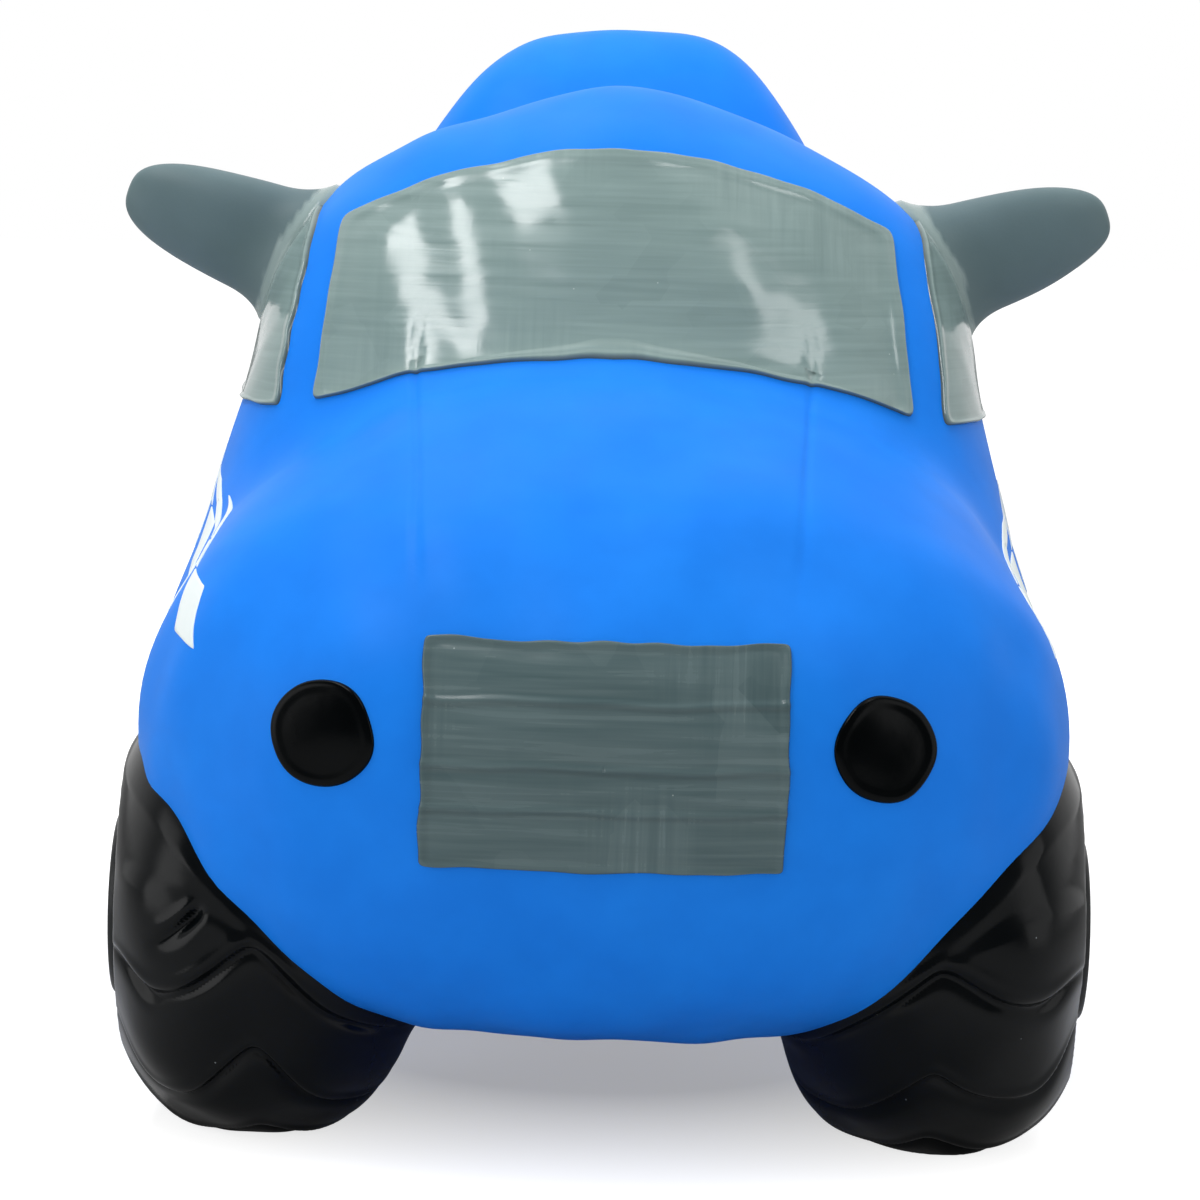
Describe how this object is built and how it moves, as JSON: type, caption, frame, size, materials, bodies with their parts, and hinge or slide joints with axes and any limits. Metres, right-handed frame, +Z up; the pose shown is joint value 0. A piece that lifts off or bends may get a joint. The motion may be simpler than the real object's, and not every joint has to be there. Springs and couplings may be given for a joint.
{
  "type": "car hopper",
  "caption": "Inflatable ride-on hopper shaped like a rounded blue car, with grey windows and grille, bulging black tyres, side handles and an air valve with a pull-out plug.",
  "frame": {"origin": "on the floor under the middle of the toy's overall box", "axes": "+Z up, -Y towards the nose, +X towards the rider's left"},
  "size_m": [0.3378, 0.5382, 0.3569],
  "materials": {
    "blue_pvc": "satin moulded PVC",
    "tyre_paint": "glossy black paint on PVC",
    "hub_paint": "silver paint on PVC",
    "handle_grey": "matt grey PVC",
    "window_paint": "brushed glossy grey paint",
    "grille_paint": "brushed grey paint",
    "lamp_paint": "glossy black paint",
    "checker_transfer": "white transfer",
    "valve_white": "soft white PVC"
  },
  "bodies": {
    "hopper": {"body_shell": "blue_pvc", "front_left_tyre": "tyre_paint", "front_left_wheel_disc": "hub_paint", "front_right_tyre": "tyre_paint", "front_right_wheel_disc": "hub_paint", "rear_left_tyre": "tyre_paint", "rear_left_wheel_disc": "hub_paint", "rear_right_tyre": "tyre_paint", "rear_right_wheel_disc": "hub_paint", "left_handle_root": "handle_grey", "left_side_window": "window_paint", "left_checker_band": "checker_transfer", "left_headlamp": "lamp_paint", "left_tail_lamp": "lamp_paint", "right_handle_root": "handle_grey", "right_side_window": "window_paint", "right_checker_band": "checker_transfer", "right_headlamp": "lamp_paint", "right_tail_lamp": "lamp_paint", "windscreen": "window_paint", "rear_window": "window_paint", "grille": "grille_paint", "valve_seat": "valve_white"},
    "left_handle": {"left_handle": "handle_grey"},
    "right_handle": {"right_handle": "handle_grey"},
    "valve_plug": {"valve_plug": "valve_white"}
  },
  "joints": [
    {"name": "left_handle_flex", "type": "hinge", "parent": "hopper", "child": "left_handle", "pos_m": [0.11593, -0.03005, 0.27624], "axis": [-0.3256, 0, 0.9455], "range_deg": [-20, 20], "stiffness_Nm_per_rad": 1.2, "deforming": ["left_handle_root"]},
    {"name": "right_handle_flex", "type": "hinge", "parent": "hopper", "child": "right_handle", "pos_m": [-0.11593, -0.03005, 0.27624], "axis": [-0.3256, 0, -0.9455], "range_deg": [-20, 20], "stiffness_Nm_per_rad": 1.2, "deforming": ["right_handle_root"]},
    {"name": "plug_pull", "type": "slide", "parent": "hopper", "child": "valve_plug", "axis": [0, 1, 0], "range_m": [0, 0.03]}
  ]
}
